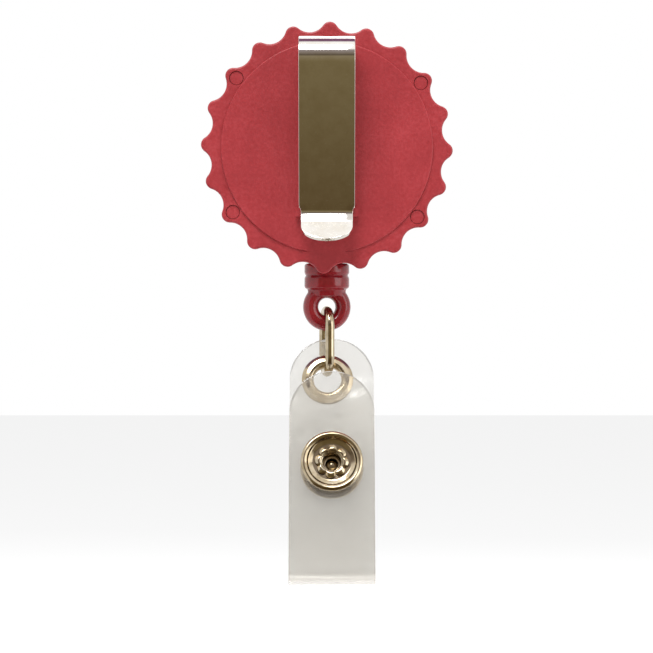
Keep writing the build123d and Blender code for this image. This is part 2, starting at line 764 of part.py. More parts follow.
with BuildPart() as snap_stud:
    with BuildSketch(snap_side):
        with BuildLine():
            ball_top = flap_inner - socket_plate - hinge_gap
            plate_face = strap_half + socket_plate
            ball_middle = (plate_face + ball_top) / 2
            inner = stud_neck_radius - socket_plate
            Polyline(
                (strap_half, post_hole_radius - socket_plate),
                (strap_half, stud_plate_radius),
                (plate_face, stud_plate_radius),
                (plate_face, stud_neck_radius),
            )
            Spline(
                (plate_face, stud_neck_radius),
                (ball_middle, stud_ball_radius),
                (ball_top, inner),
            )
            Polyline((ball_top, inner), (ball_top, 0), (ball_middle, 0), (ball_middle, inner), (strap_half, inner))
        make_face()
    revolve(axis=snap_axis)
snap_stud.part.label = "snap_stud"
export_step(snap_stud.part, "parts/snap_stud.step")

with BuildPart() as snap_cap:
    with BuildSketch(snap_side):
        with BuildLine():
            post = stud_neck_radius - socket_plate - snap_fit
            back = -strap_half - cap_height
            rim = -strap_half - cap_height / 3
            Polyline(
                (back, 0),
                (ball_middle - snap_fit, 0),
                (ball_middle - snap_fit, post),
                (-strap_half, post),
                (-strap_half, cap_radius),
                (rim, cap_radius),
            )
            reach, rise = dome_middle(cap_radius, cap_height * 2 / 3)
            ThreePointArc((rim, cap_radius), (rim - rise, reach), (back, 0))
        make_face()
    revolve(axis=snap_axis)
snap_cap.part.label = "snap_cap"
export_step(snap_cap.part, "parts/snap_cap.step")

# ---------------------------------------------------------------- belt clip
# One strip: the rear leg lies on the case, the top bend brings it round, and the front leg
# leans back to the case and flares out in a tongue. Front and rear part at the top of the bend.
clip_middle = clip_bend_radius - clip_thickness / 2
bend_centre = (-clip_bend_radius, clip_bend_height)
split_angle = degrees((clip_thickness + clip_gap) / 2 / clip_middle)
front_start = polar(clip_middle, 180 + clip_lean)
front_start = (front_start[0] - clip_bend_radius, front_start[1] + clip_bend_height)
elbow = (front_start[0] + (front_start[1] - clip_elbow_height) * tan(radians(clip_lean)), clip_elbow_height)
flare = tan(radians(tongue_flare))
tongue_tip = (elbow[0] - (clip_elbow_height - tongue_end) * flare, tongue_end)
rivet_hole = rivet_radius + rivet_fit

with BuildPart() as clip_rear_leg:
    with BuildSketch(Plane.YZ):
        with BuildLine():
            leg_end = keeper_bottom + keeper_wall / 2 + clip_thickness / 2 + keeper_fit
            Line((-clip_thickness / 2, leg_end), (-clip_thickness / 2, clip_bend_height))
            CenterArc(bend_centre, clip_middle, 0, 90 - split_angle)
            offset(amount=clip_thickness / 2)
        make_face()
    extrude(amount=clip_width / 2, both=True)
    with BuildSketch(at_depth(0)):
        Circle(rivet_hole)
    extrude(amount=clip_thickness, mode=Mode.SUBTRACT)
clip_rear_leg.part.label = "clip_rear_leg"
export_step(clip_rear_leg.part, "parts/clip_rear_leg.step")

with BuildPart() as clip_front_leg:
    with BuildSketch(Plane.YZ):
        with BuildLine():
            CenterArc(bend_centre, clip_middle, 90 + split_angle, 90 + clip_lean - split_angle)
            FilletPolyline(front_start, elbow, tongue_tip, radius=clip_elbow_radius)
            offset(amount=clip_thickness / 2)
        make_face()
    extrude(amount=clip_width / 2, both=True)
    # Outline from the front: the leg narrows at the elbow and ends in a rounded tongue
    with BuildSketch(at_depth(0)):
        with BuildLine():
            half, narrow = clip_width / 2, tongue_width / 2
            crown = clip_bend_height + 2 * clip_bend_radius
            neck = clip_elbow_height + clip_elbow_radius / 2
            tongue_shoulder = tongue_end + tongue_round
            Polyline(
                (-narrow, tongue_shoulder),
                (-narrow, neck),
                (-half, neck + tongue_round / 2),
                (-half, crown),
                (half, crown),
                (half, neck + tongue_round / 2),
                (narrow, neck),
                (narrow, tongue_shoulder),
                close=True,
            )
        make_face()
        with Locations((0, tongue_shoulder)):
            Ellipse(narrow, tongue_round)
    extrude(amount=3 * clip_bend_radius, mode=Mode.INTERSECT)
clip_front_leg.part.label = "clip_front_leg"
export_step(clip_front_leg.part, "parts/clip_front_leg.step")

with BuildPart() as clip_rivet:
    with BuildSketch(Plane.XY):
        with BuildLine():
            head = -clip_thickness - rivet_head_height
            Polyline(
                (0, head),
                (0, rivet_end),
                (rivet_radius, rivet_end),
                (rivet_radius, -clip_thickness),
                (rivet_head_radius, -clip_thickness),
            )
            reach, rise = dome_middle(rivet_head_radius, rivet_head_height)
            ThreePointArc((rivet_head_radius, -clip_thickness), (reach, -clip_thickness - rise), (0, head))
        make_face()
    revolve(axis=Axis.Y)
clip_rivet.part.label = "clip_rivet"
export_step(clip_rivet.part, "parts/clip_rivet.step")
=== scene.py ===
import json
import math

import bmesh
import bpy
import numpy as np
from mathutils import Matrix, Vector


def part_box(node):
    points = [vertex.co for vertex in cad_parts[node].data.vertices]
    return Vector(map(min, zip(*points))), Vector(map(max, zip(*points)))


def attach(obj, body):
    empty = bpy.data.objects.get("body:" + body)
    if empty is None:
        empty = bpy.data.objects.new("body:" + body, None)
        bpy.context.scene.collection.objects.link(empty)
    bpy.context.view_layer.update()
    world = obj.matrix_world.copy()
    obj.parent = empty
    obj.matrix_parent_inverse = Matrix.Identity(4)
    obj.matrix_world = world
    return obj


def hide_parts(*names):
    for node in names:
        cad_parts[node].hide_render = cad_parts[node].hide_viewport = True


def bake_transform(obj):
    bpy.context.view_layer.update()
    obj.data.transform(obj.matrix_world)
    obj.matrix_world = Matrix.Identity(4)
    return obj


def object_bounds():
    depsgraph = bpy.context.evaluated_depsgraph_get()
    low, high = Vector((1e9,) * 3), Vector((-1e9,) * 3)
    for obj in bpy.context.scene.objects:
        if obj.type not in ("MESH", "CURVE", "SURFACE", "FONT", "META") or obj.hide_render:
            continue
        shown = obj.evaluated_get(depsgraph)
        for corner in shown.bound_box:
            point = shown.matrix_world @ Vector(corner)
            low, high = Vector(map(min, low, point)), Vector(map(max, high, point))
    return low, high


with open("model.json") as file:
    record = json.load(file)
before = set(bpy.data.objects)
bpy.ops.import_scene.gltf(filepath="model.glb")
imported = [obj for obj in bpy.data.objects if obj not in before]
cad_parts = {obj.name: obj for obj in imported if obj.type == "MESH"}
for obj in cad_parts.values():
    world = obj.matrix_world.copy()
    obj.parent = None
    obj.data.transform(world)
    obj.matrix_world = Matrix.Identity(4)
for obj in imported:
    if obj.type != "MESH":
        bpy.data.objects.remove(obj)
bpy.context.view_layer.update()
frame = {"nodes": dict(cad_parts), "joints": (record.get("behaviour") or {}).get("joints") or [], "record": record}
joints = {joint["name"]: joint for joint in frame["joints"]}

# Retractable badge reel. Lengths below are millimetres and turn to metres in make().
MM = 0.001
MERGE_DISTANCE = 1e-7

# ------------------------------------------------------------------ sizes shared with the CAD part
CLIP_WIDTH = 8.4
CLIP_THICKNESS = 0.6
CLIP_BEND_RADIUS = 3.35
CLIP_BEND_HEIGHT = 12.95
CLIP_LEAN = 11.5
CLIP_REAR_END = -10.05
ELBOW_HEIGHT = -9.9
ELBOW_LAND = 1.45
ELBOW_LAND_SLOPE = 21.0
TONGUE_FLARE = 40.0
TONGUE_WIDTH = 7.8
TONGUE_END = -14.1
TONGUE_ROUND = 2.2

STRAP_PITCH = 20.0
STRAP_WIDTH = 12.8
STRAP_THICKNESS = 0.5
STRAP_OFFSET = 0.75
STRAP_TOP = 2.55
FOLD_UP = -34.6
FOLD_RADIUS = 1.35
FLAP_OUT = 2.7
FLAP_END = -3.6
SNAP_UP = -18.0
SWIVEL_YAW = 10.0

# The end fitting: the ringed neck, the shoulder below it, and the round eye.
NECK_RADIUS = 3.42
NECK_WAIST = 2.98
NECK_LENGTH = 5.0
SHOULDER_START = 3.6
SHOULDER_END = 1.7
EYE_RADIUS = 2.5
EYE_HALF_WALL = 1.16
EYE_HALF_DEPTH = 1.6

LINK_WIRE = 0.7
LINK_BEND = 2.7
LINK_GAP = 0.12
LINK_PLAY = 0.1

# The eyelet's tube and brim, and the snap's tube.
EYELET_BORE = 2.1
EYELET_TUBE = 2.4
EYELET_BRIM = 3.9
PETAL_TUBE = 1.55


# ------------------------------------------------------------------ making meshes
def put(name, data):
    """New object with this data, linked to the scene."""
    made = bpy.data.objects.new(name, data)
    bpy.context.scene.collection.objects.link(made)
    return made


def applied(holder):
    """The object's mesh with its modifiers applied."""
    seen = holder.evaluated_get(bpy.context.evaluated_depsgraph_get())
    return bpy.data.meshes.new_from_object(seen)


def clean(mesh):
    """Merges points that coincide, such as at a pole, and turns the faces outwards."""
    work = bmesh.new()
    work.from_mesh(mesh)
    bmesh.ops.remove_doubles(work, verts=work.verts, dist=MERGE_DISTANCE)
    bmesh.ops.recalc_face_normals(work, faces=work.faces)
    work.to_mesh(mesh)
    work.free()


def grid(name, points, closed_rows=False):
    """Mesh through a grid of points, rows x columns x 3 in millimetres: every cell of four
    neighbouring points is a face. Columns always close on themselves, rows where closed_rows says."""
    rows, columns = points.shape[:2]
    index = np.arange(rows * columns).reshape(rows, columns)
    right = np.roll(index, -1, axis=1)
    cells = np.stack([index, right, np.roll(right, -1, axis=0), np.roll(index, -1, axis=0)], axis=-1)
    if not closed_rows:
        cells = cells[:-1]
    mesh = bpy.data.meshes.new(name)
    mesh.from_pydata((points.reshape(-1, 3) * MM).tolist(), [], cells.reshape(-1, 4).tolist())
    return mesh


def make(name, points, body, slot, material, *nodes, closed_rows=False, crease=35.0):
    """Piece whose mesh is a grid of points."""
    return dress(name, grid(name, points, closed_rows), body, slot, material, *nodes, crease=crease)


def dress(name, mesh, body, slot, material, *nodes, crease=35.0):
    """Cleans a mesh, shades it smooth up to the crease angle, and hangs it on its body."""
    clean(mesh)
    mesh.shade_smooth()
    mesh.set_sharp_from_angle(angle=math.radians(crease))
    mesh.materials.clear()
    mesh.materials.append(material)
    piece = put(name, mesh)
    if body:
        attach(piece, body)
    if nodes:
        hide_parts(*nodes)
    return piece


def rounded(corners, steps=6):
    """Outline through corners (x, y, radius): each corner becomes the arc of a circle that touches
    both of its sides. The circle's centre lies on the corner's bisector, radius / sin(half angle)
    away; a radius of 0 keeps the corner sharp. The first and last corners are kept as they are
    where their radius is 0."""
    out = []
    total = len(corners)
    for number, (x, y, radius) in enumerate(corners):
        corner = np.array([x, y], float)
        if radius == 0:
            out.append(corner[None])
            continue
        before = np.array(corners[number - 1][:2], float) - corner
        after = np.array(corners[(number + 1) % total][:2], float) - corner
        before /= np.linalg.norm(before)
        after /= np.linalg.norm(after)
        half = math.acos(np.clip(before @ after, -1, 1)) / 2
        reach = radius / math.tan(half)
        middle = before + after
        centre = corner + middle / np.linalg.norm(middle) * radius / math.sin(half)
        start = corner + before * reach - centre
        end = corner + after * reach - centre
        sweep = math.atan2(start[0] * end[1] - start[1] * end[0], start @ end)
        turn = np.linspace(0, sweep, steps + 1)
        cosine, sine = np.cos(turn), np.sin(turn)
        arc = np.stack([start[0] * cosine - start[1] * sine, start[0] * sine + start[1] * cosine], -1)
        out.append(centre + arc)
    return np.concatenate(out)


def closed_ends(points):
    """The grid with each end drawn together to the middle of its last ring."""
    ends = [
        np.repeat(points[end].mean(axis=0)[None, None], points.shape[1], axis=1) for end in (0, -1)
    ]
    return np.concatenate([ends[0], points, ends[1]])


def around(axis):
    """The axis at unit length, and two unit vectors square to it and to each other."""
    axis = np.asarray(axis, float)
    axis = axis / np.linalg.norm(axis)
    helper = np.array([1.0, 0, 0]) if abs(axis[0]) < 0.9 else np.array([0, 1.0, 0])
    side = helper - axis * (helper @ axis)
    side /= np.linalg.norm(side)
    return axis, side, np.cross(axis, side)


def lathe(profile, centre, axis, segments=120):
    """Surface of revolution: each profile point (radius, height) goes round the axis,
    centre + height * axis + radius * (cos t * side + sin t * other side)."""
    axis, side, other = around(axis)
    turn = np.linspace(0, 2 * math.pi, segments, endpoint=False)
    ring = np.cos(turn)[:, None] * side + np.sin(turn)[:, None] * other
    profile = np.asarray(profile, float)
    return np.asarray(centre) + profile[:, 1, None, None] * axis + profile[:, 0, None, None] * ring


def tube(path, radius, binormal, segments=24):
    """Round wire along a plane path: at each point a circle stands square to the path,
    spanned by the plane's binormal and the path's own normal. Each end closes in a flat disc."""
    path = np.asarray(path, float)
    tangent = np.gradient(path, axis=0)
    tangent /= np.linalg.norm(tangent, axis=1, keepdims=True)
    normal = np.cross(binormal, tangent)
    turn = np.linspace(0, 2 * math.pi, segments, endpoint=False)
    ring = (
        np.cos(turn)[None, :, None] * normal[:, None, :]
        + np.sin(turn)[None, :, None] * np.asarray(binormal)[None, None, :]
    )
    body = path[:, None, :] + radius * ring
    ends = [np.repeat(path[end][None, None], segments, axis=1) for end in (0, -1)]
    return np.concatenate([ends[0], body, ends[1]])


def strip(path, half_width, thickness, edge, side, out, up, origin, across=30, lift=None):
    """Flat strip bent along a plane path of (out, up) points. Its section is a rounded rectangle
    2 * half_width by thickness: point = origin + x * side + (path + height * normal), where the
    normal stands square to the path. lift(x) adds to the height of both faces at once."""
    path = np.asarray(path, float)
    tangent = np.gradient(path, axis=0)
    tangent /= np.linalg.norm(tangent, axis=1, keepdims=True)
    normal = np.stack([tangent[:, 1], -tangent[:, 0]], -1)
    arc = np.linspace(0, math.pi / 2, 5)
    corner_x = (np.sin(arc) - 1) * edge
    corner_h = (np.cos(arc) - 1) * edge
    flat = np.linspace(-1, 1, across)
    # Going round: top face, right edge, bottom face, left edge. x is share * half width + extra.
    edge_points = np.ones(2 * arc.size)
    share = np.concatenate([flat[1:-1], edge_points, -flat[1:-1], -edge_points])
    extra = np.concatenate([
        np.zeros(across - 2), corner_x, corner_x[::-1],
        np.zeros(across - 2), -corner_x, -corner_x[::-1],
    ])
    half = thickness / 2
    height = np.concatenate([
        np.full(across - 2, half), half + corner_h, -half - corner_h[::-1],
        np.full(across - 2, -half), -half - corner_h, half + corner_h[::-1],
    ])
    inner = np.maximum(np.asarray(half_width)[:, None] - edge, 0.0)
    flat_part = np.isclose(extra, 0) & (np.abs(share) < 1)
    x = np.where(flat_part, share * inner, share * (inner + edge) + extra)
    rise = height[None, :] + (lift(x, path) if lift else 0.0)
    plane = path[:, None, :] + rise[..., None] * normal[:, None, :]
    points = (
        np.asarray(origin)
        + x[..., None] * np.asarray(side)
        + plane[..., 0, None] * np.asarray(out)
        + plane[..., 1, None] * np.asarray(up)
    )
    return closed_ends(points)


def even(path, step):
    """The same path with its points spread evenly, about one step apart, by its arc length."""
    path = np.asarray(path, float)
    length = np.concatenate([[0], np.cumsum(np.linalg.norm(np.diff(path, axis=0), axis=1))])
    count = int(round(length[-1] / step)) + 1
    places = np.linspace(0, length[-1], count)
    return np.stack([np.interp(places, length, path[:, column]) for column in range(path.shape[1])], -1)


def fused(name, grids, voxel, smooth, body, slot, material, *nodes):
    """One skin round several closed grids, as where moulded forms run into each other: their
    union is resampled on voxels of this size, then eased so that the inner corners turn round."""
    build = bmesh.new()
    for points, closed_rows in grids:
        shell = grid(name, points, closed_rows)
        clean(shell)
        build.from_mesh(shell)
        bpy.data.meshes.remove(shell)
    mesh = bpy.data.meshes.new(name)
    build.to_mesh(mesh)
    build.free()
    raw = put(name, mesh)
    skin = raw.modifiers.new("skin", "REMESH")
    skin.mode = "VOXEL"
    skin.voxel_size = voxel * MM
    ease = raw.modifiers.new("ease", "SMOOTH")
    ease.iterations = smooth
    ease.factor = 0.5
    final = applied(raw)
    bpy.data.objects.remove(raw)
    return dress(name, final, body, slot, material, *nodes, crease=70)


def holed(name, points, axis, holes, material):
    """Mesh of a grid with round holes (centre, radius, low, high): each cutter is a plain rod along
    the axis from low to high, taken away by a Boolean that is applied to the mesh."""
    mesh = grid(name, points)
    clean(mesh)
    blank = put(f"{name}_blank", mesh)
    cutters = []
    for number, (centre, radius, low, high) in enumerate(holes):
        rod = lathe([(0, low), (radius, low), (radius, high), (0, high)], centre, axis, 64)
        cutter = make(f"cutter_{number}", rod, None, "clear_vinyl", material)
        cut = blank.modifiers.new(f"hole_{number}", "BOOLEAN")
        cut.operation = "DIFFERENCE"
        cut.solver = "EXACT"
        cut.object = cutter
        cutters.append(cutter)
    final = applied(blank)
    for spare in (blank, *cutters):
        bpy.data.objects.remove(spare)
    return final


# ------------------------------------------------------------------ materials
def linear(colour):
    """sRGB hex to linear RGBA."""
    share = np.array([int(colour[place:place + 2], 16) for place in (1, 3, 5)]) / 255
    low = share / 12.92
    high = ((share + 0.055) / 1.055) ** 2.4
    return (*np.where(share <= 0.04045, low, high).tolist(), 1.0)


def add(tree, kind, settings=None, inputs=None):
    """Adds a node of this kind. settings are its own properties; inputs maps a socket's name or
    number to a value, or to the output that feeds it."""
    made = tree.nodes.new(kind)
    for name, value in (settings or {}).items():
        setattr(made, name, value)
    for name, value in (inputs or {}).items():
        if isinstance(value, bpy.types.NodeSocket):
            tree.links.new(value, made.inputs[name])
        else:
            made.inputs[name].default_value = value
    return made


def start(name):
    """New material with an empty node tree, and its Object coordinates."""
    material = bpy.data.materials.new(name)
    material.use_nodes = True
    material.node_tree.nodes.clear()
    place = add(material.node_tree, "ShaderNodeTexCoord").outputs["Object"]
    return material, material.node_tree, place


def ramp(tree, factor, stops):
    """Colour ramp with these (position, hex) stops."""
    made = add(tree, "ShaderNodeValToRGB", inputs={"Fac": factor})
    elements = made.color_ramp.elements
    while len(elements) < len(stops):
        elements.new(0.5)
    for element, (position, colour) in zip(elements, stops):
        element.position = position
        element.color = linear(colour)
    return made.outputs["Color"]


def noise(tree, place, scale, detail, roughness=0.5):
    """Cloudy pattern between 0 and 1; scale is in clouds per metre."""
    return add(tree, "ShaderNodeTexNoise", inputs={
        "Vector": place, "Scale": scale, "Detail": detail, "Roughness": roughness}).outputs["Fac"]


def stretched(tree, place, scale):
    """The coordinates scaled on each axis, so that a pattern draws out into lines."""
    return add(tree, "ShaderNodeMapping", inputs={"Vector": place, "Scale": scale}).outputs["Vector"]


def mapped(tree, value, from_low, from_high, to_low, to_high):
    """The value carried over from one range to another."""
    return add(tree, "ShaderNodeMapRange", inputs={
        "Value": value, "From Min": from_low, "From Max": from_high,
        "To Min": to_low, "To Max": to_high}).outputs["Result"]


def bumped(tree, height, strength, distance):
    """Normals of a relief; distance is in metres."""
    return add(tree, "ShaderNodeBump", inputs={
        "Height": height, "Strength": strength, "Distance": distance}).outputs["Normal"]


def principled(tree, **inputs):
    """Principled shader; an input's name is given with underscores for its spaces."""
    named = {name.replace("_", " "): value for name, value in inputs.items()}
    return add(tree, "ShaderNodeBsdfPrincipled", inputs=named).outputs["BSDF"]


def finish(tree, shader):
    """Wires the shader to the material's surface."""
    add(tree, "ShaderNodeOutputMaterial", inputs={"Surface": shader})


# Injection-moulded ABS in a fine satin finish, tinted through: the pigment mixes unevenly, so the
# colour drifts in clouds, and the tool's spark-eroded grain breaks up the sheen. Clouds, grain and
# the grain's depth are in millimetres.
def moulded_abs(name, dark, middle, light, roughness, cloud, grain, grain_depth):
    material, tree, place = start(name)
    clouds = noise(tree, place, 1 / (cloud * MM), 3.0, 0.6)
    speckle = noise(tree, place, 1 / (grain * MM), 2.0, 0.7)
    both = add(tree, "ShaderNodeMix", {"data_type": "FLOAT"}, {"Factor": 0.5, "A": clouds, "B": speckle})
    colour = ramp(tree, both.outputs["Result"], [(0.36, dark), (0.5, middle), (0.66, light)])
    finish(tree, principled(
        tree, Base_Color=colour, IOR=1.53,
        Roughness=mapped(tree, speckle, 0.3, 0.7, roughness - 0.05, roughness + 0.08),
        Subsurface_Weight=0.12, Subsurface_Radius=(0.9, 0.22, 0.18), Subsurface_Scale=0.001,
        Normal=bumped(tree, speckle, 0.6, grain_depth * MM)))
    return material


# Bright nickel over polished steel or brass: a mirror with a faint grain along the strip, hairline
# scratches from use, and dull stains.
def nickel_plate(name, colour, tint, roughness, scratches, along=(1, 1, 0.04)):
    material, tree, place = start(name)
    lines = noise(tree, stretched(tree, place, along), 5200.0, 3.0, 0.6)
    stains = noise(tree, place, 420.0, 4.0, 0.65)
    finish(tree, principled(
        tree, Base_Color=ramp(tree, stains, [(0.35, tint), (0.6, colour)]), Metallic=1.0,
        Roughness=mapped(tree, lines, 0.35, 0.75, roughness, roughness + 0.08),
        Normal=bumped(tree, lines, scratches, 0.00001)))
    return material


# Calendered clear PVC: glossy and see-through, warm grey where it is looked through twice, with a
# faint haze and the soft ripples of sheet that was rolled up. Lamps shine through it, so its
# shadow is only a tint.
def clear_vinyl():
    material, tree, place = start("calendered_clear_pvc")
    ripple = noise(tree, place, 160.0, 2.0, 0.45)
    haze = noise(tree, place, 700.0, 4.0, 0.6)
    film = principled(
        tree, Base_Color=linear("#FBFAF7"), IOR=1.53, Transmission_Weight=1.0,
        Roughness=mapped(tree, haze, 0.35, 0.7, 0.05, 0.16),
        Normal=bumped(tree, ripple, 0.5, 0.0002))
    milk = add(tree, "ShaderNodeBsdfTranslucent", inputs={"Color": linear("#DCD9D3")})
    cloudy = add(tree, "ShaderNodeMixShader", inputs={0: 0.16, 1: film, 2: milk.outputs["BSDF"]})
    lit = add(tree, "ShaderNodeBsdfTransparent", inputs={"Color": linear("#EFECE8")})
    path = add(tree, "ShaderNodeLightPath")
    shader = add(tree, "ShaderNodeMixShader", inputs={
        0: path.outputs["Is Shadow Ray"], 1: cloudy.outputs["Shader"], 2: lit.outputs["BSDF"]})
    finish(tree, shader.outputs["Shader"])
    return material


# Natural acetal, moulded: a waxy off-white.
def natural_acetal():
    material, tree, place = start("moulded_natural_acetal")
    flow = noise(tree, place, 300.0, 3.0)
    finish(tree, principled(
        tree, Base_Color=ramp(tree, flow, [(0.4, "#DAD8D0"), (0.6, "#E6E4DD")]), Roughness=0.4,
        IOR=1.48, Subsurface_Weight=0.1, Subsurface_Radius=(0.6, 0.6, 0.5), Subsurface_Scale=0.001))
    return material


# Hardened spring steel, blued by its heat treatment, with the fine lines of rolling.
def spring_steel():
    material, tree, place = start("rolled_blue_spring_steel")
    lines = noise(tree, stretched(tree, place, (1, 0.05, 1)), 6000.0, 2.0)
    finish(tree, principled(
        tree, Base_Color=ramp(tree, lines, [(0.35, "#6E747E"), (0.65, "#8F96A0")]), Metallic=1.0,
        Roughness=0.3))
    return material


# Braided nylon cord: its strands cross at a slant, and each throws a soft sheen.
def braided_nylon():
    material, tree, place = start("braided_black_nylon")
    strands = [
        add(tree, "ShaderNodeTexWave", {"bands_direction": "DIAGONAL"},
            {"Vector": stretched(tree, place, (hand, hand, 1.0)), "Scale": 320.0}).outputs["Fac"]
        for hand in (1.0, -1.0)
    ]
    cross = add(tree, "ShaderNodeMath", {"operation": "MAXIMUM"}, {0: strands[0], 1: strands[1]})
    braid = cross.outputs["Value"]
    finish(tree, principled(
        tree, Base_Color=ramp(tree, braid, [(0.2, "#0C0C0D"), (0.9, "#2B2B2D")]), Roughness=0.55,
        Sheen_Weight=0.3, Sheen_Roughness=0.4, Normal=bumped(tree, braid, 0.8, 0.00006)))
    return material


case_red = moulded_abs(
    "satin_moulded_red_abs", "#A0272E", "#A92C33", "#B5373E",
    roughness=0.42, cloud=7.0, grain=0.5, grain_depth=0.02)
# Glossy ABS of a deeper red than the case, made darker still as painted shade: the case's shadow over the neck is
# painted into the whole fitting's colour.
fitting_red = moulded_abs(
    "gloss_moulded_red_abs", "#81151D", "#8A1B23", "#94242B",
    roughness=0.14, cloud=4.0, grain=0.9, grain_depth=0.004)
clip_nickel = nickel_plate("bright_nickel_on_strip", "#E4E0DA", "#DCD6CC", 0.05, 0.12)
snap_nickel = nickel_plate("bright_nickel_on_brass", "#C4B69D", "#AA9A7D", 0.1, 0.1, along=(1, 1, 1))
vinyl = clear_vinyl()
acetal = natural_acetal()
blue_steel = spring_steel()
nylon = braided_nylon()

finishes = {
    "case_red": case_red, "fitting_red": fitting_red, "clip_nickel": clip_nickel,
    "snap_nickel": snap_nickel, "clear_vinyl": vinyl, "spool_white": acetal,
    "spring_steel": blue_steel, "cord_nylon": nylon,
}
for part in frame["record"]["subparts"]:
    node = frame["nodes"][part["node"]]
    node.data.materials.clear()
    node.data.materials.append(finishes[part["material_slot"]])

# ------------------------------------------------------------------ belt clip, one bent strip
side_x = np.array([1.0, 0, 0])
lean = math.radians(CLIP_LEAN)
flare = math.radians(TONGUE_FLARE)
middle = CLIP_BEND_RADIUS - CLIP_THICKNESS / 2
turn = np.linspace(0, math.pi + lean, 90)
bend = np.stack([
    -CLIP_BEND_RADIUS + middle * np.cos(turn),
    CLIP_BEND_HEIGHT + middle * np.sin(turn),
], -1)
leg_y = bend[-1, 0] + (bend[-1, 1] - ELBOW_HEIGHT) * math.tan(lean)
# The elbow is pressed in two steps, with a land between them.
shelf_height = ELBOW_HEIGHT - ELBOW_LAND
shelf_y = leg_y - ELBOW_LAND * math.tan(math.radians(ELBOW_LAND_SLOPE))
tip_y = shelf_y - (shelf_height - TONGUE_END) * math.tan(flare)
lower = rounded([
    (bend[-1, 0], bend[-1, 1], 0),
    (leg_y, ELBOW_HEIGHT, 1.1),
    (shelf_y, shelf_height, 0.9),
    (tip_y, TONGUE_END, 0),
], steps=14)
clip_path = even(np.concatenate([[(-CLIP_THICKNESS / 2, CLIP_REAR_END)], bend, lower[1:]]), 0.12)
z = clip_path[:, 1]
on_front = np.arange(len(clip_path)) > np.argmax(z)
# Over the last millimetre above the elbow the strip narrows to the tongue, along the smooth step
# 3t^2 - 2t^3. The tongue's end is a rounded outline: half width * sqrt(1 - t^2.4).
NARROWS_ABOVE_ELBOW = 1.2
narrow = np.clip(ELBOW_HEIGHT + NARROWS_ABOVE_ELBOW - z, 0, 1) * on_front
half = CLIP_WIDTH / 2 - (CLIP_WIDTH - TONGUE_WIDTH) / 2 * narrow * narrow * (3 - 2 * narrow)
into_tip = np.clip((TONGUE_END + TONGUE_ROUND - z) / TONGUE_ROUND, 0, 1) * on_front
half = half * np.sqrt(np.clip(1 - into_tip**2.4, 0.0004, 1))
clip = make(
    "belt_clip",
    strip(clip_path, half, CLIP_THICKNESS, 0.09, side_x, (0, 1, 0), (0, 0, 1), (0, 0, 0), across=8),
    None, "clip_nickel", clip_nickel, "clip_rear_leg", "clip_front_leg", crease=60,
)
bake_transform(clip)

# ------------------------------------------------------------------ cord end fitting
cord_line = np.array(joints["fitting_twist"]["pos_m"]) / MM
eye_centre = np.array(joints["link_swing"]["pos_m"]) / MM
yaw = math.radians(SWIVEL_YAW)
eye_side = np.array([math.cos(yaw), math.sin(yaw), 0])
eye_axis = np.array([-math.sin(yaw), math.cos(yaw), 0])
up_z = np.array([0, 0, 1.0])
neck_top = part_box("cord_end_fitting")[1].z / MM

neck_profile = rounded([
    (0.7, neck_top, 0),
    (NECK_RADIUS, neck_top, 0.42),
    (NECK_RADIUS, neck_top - 1.65, 0.5),
    (NECK_WAIST, neck_top - 1.86, 0.16),
    (NECK_RADIUS, neck_top - 2.05, 0.5),
    (NECK_RADIUS, neck_top - 3.7, 0.5),
    (2.75, neck_top - 4.1, 0.3),
    (2.5, neck_top - NECK_LENGTH, 0),
    (0.7, neck_top - NECK_LENGTH, 0),
], steps=8)
neck_centre = np.array([cord_line[0], cord_line[1], 0])
neck = lathe(neck_profile, neck_centre, up_z)
# Below the neck a shoulder runs down into the eye: a stack of ellipses whose half widths shrink
# along the smooth step 3t^2 - 2t^3, most of all front to back.
drop = np.linspace(0, 1, 24)
blend_in = drop * drop * (3 - 2 * drop)
ring = np.linspace(0, 2 * math.pi, 120, endpoint=False)
shoulder_top = neck_top - SHOULDER_START
shoulder_low = eye_centre[2] + SHOULDER_END
shoulder = closed_ends(
    neck_centre
    + (shoulder_top + (shoulder_low - shoulder_top) * drop)[:, None, None] * up_z
    + ((NECK_WAIST - 0.1 * blend_in)[:, None] * np.cos(ring))[..., None] * eye_side
    + ((NECK_WAIST - 1.62 * blend_in)[:, None] * np.sin(ring))[..., None] * eye_axis
)
oval = np.linspace(0, 2 * math.pi, 48, endpoint=False)
eye_profile = np.stack([EYE_RADIUS + EYE_HALF_WALL * np.cos(oval), EYE_HALF_DEPTH * np.sin(oval)], -1)
eye = lathe(eye_profile, eye_centre, eye_axis)
fused("cord_end", [(neck, True), (shoulder, False), (eye, True)], 0.075, 5,
      "fitting", "fitting_red", fitting_red, "cord_end_fitting")

# ------------------------------------------------------------------ link, one bent wire
eye_hole = EYE_RADIUS - EYE_HALF_WALL
link_top = eye_centre[2] - eye_hole + LINK_WIRE + LINK_PLAY - LINK_BEND
link_low = joints["strap_swing"]["pos_m"][2] / MM
link_mid = (link_top + link_low) / 2
upper_turn = np.linspace(0, math.pi, 40)
lower_turn = np.linspace(math.pi, 2 * math.pi, 40)
link_path = np.concatenate([
    [(LINK_BEND, link_mid + LINK_GAP / 2)],
    np.stack([LINK_BEND * np.cos(upper_turn), link_top + LINK_BEND * np.sin(upper_turn)], -1),
    np.stack([LINK_BEND * np.cos(lower_turn), link_low + LINK_BEND * np.sin(lower_turn)], -1),
    [(LINK_BEND, link_mid - LINK_GAP / 2)],
])
link_path = even(link_path, 0.15)
link_points = neck_centre + link_path[:, :1] * eye_axis + link_path[:, 1:] * up_z
make("link", tube(link_points, LINK_WIRE, eye_side, 40),
     "link", "snap_nickel", snap_nickel, "link_ring")

# ------------------------------------------------------------------ strap, one folded length
origin = np.array(joints["strap_swing"]["pos_m"]) / MM
pitch = math.radians(STRAP_PITCH)
out = np.array([0, -math.cos(pitch), math.sin(pitch)])
up = np.array([0, math.sin(pitch), math.cos(pitch)])

